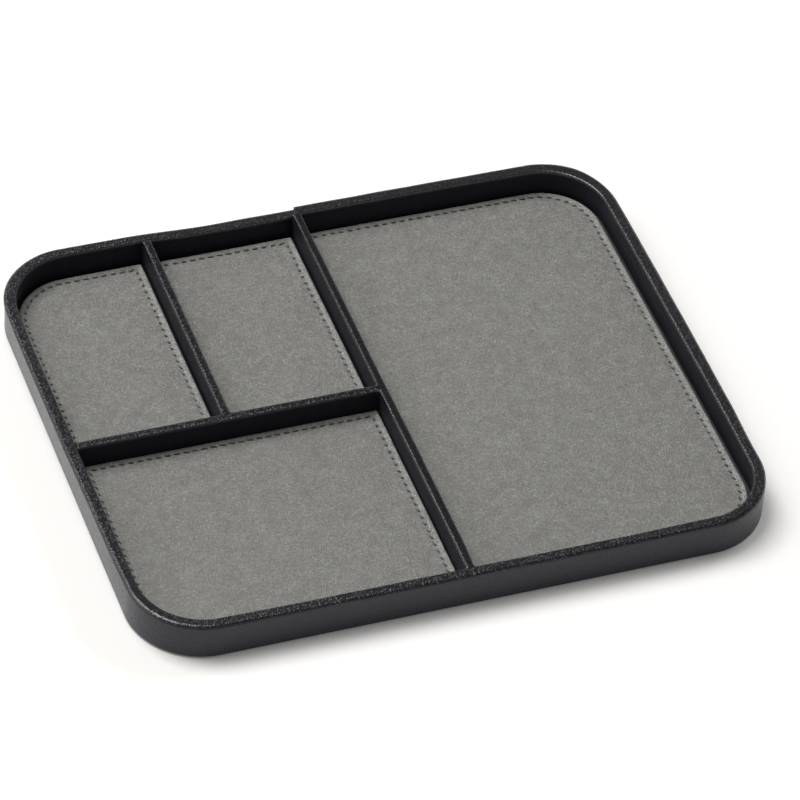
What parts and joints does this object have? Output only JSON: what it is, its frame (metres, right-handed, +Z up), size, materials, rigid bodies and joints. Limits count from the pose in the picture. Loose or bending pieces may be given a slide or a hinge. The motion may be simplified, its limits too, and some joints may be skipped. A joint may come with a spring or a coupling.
{
  "type": "desk organizer tray",
  "caption": "Low rectangular tray with rounded corners, divided into bays with stitched floor panels, that keeps a phone, pens and small chargers in order.",
  "frame": {"origin": "middle of the footprint, on the face it rests on", "axes": "+X along the width towards the large bay, +Y to the back, +Z up"},
  "size_m": [0.244, 0.2026, 0.0154],
  "materials": {
    "board": "dense fibreboard",
    "black_board": "dense fibreboard dyed black, seen in the gaps round the panels",
    "bent_board": "bent plywood",
    "divider_board": "thin hardboard",
    "backing_board": "grey fibre backing board",
    "lining": "black microfibre",
    "band_leather": "smooth matt black",
    "pebbled_leather": "fine pebbled black",
    "panel_leather": "fine grained warm grey",
    "thread": "waxed dark grey thread"
  },
  "bodies": {
    "root": {"base_board": "black_board", "base_lining": "lining", "wall_front": "board", "wall_left": "board", "wall_right": "board", "wall_back_left": "board", "wall_back_right": "board", "corner_front_left": "bent_board", "corner_front_right": "bent_board", "corner_back_left": "bent_board", "corner_back_right": "bent_board", "outer_band": "band_leather", "rim_cover_left": "pebbled_leather", "rim_cover_right": "pebbled_leather", "long_divider_board": "divider_board", "cross_divider_board": "divider_board", "short_divider_board": "divider_board", "long_divider_cover": "pebbled_leather", "cross_divider_cover": "pebbled_leather", "short_divider_cover": "pebbled_leather", "left_panel_board": "backing_board", "middle_panel_board": "backing_board", "front_panel_board": "backing_board", "right_panel_board": "backing_board", "left_panel_leather": "panel_leather", "middle_panel_leather": "panel_leather", "front_panel_leather": "panel_leather", "right_panel_leather": "panel_leather"}
  },
  "joints": []
}
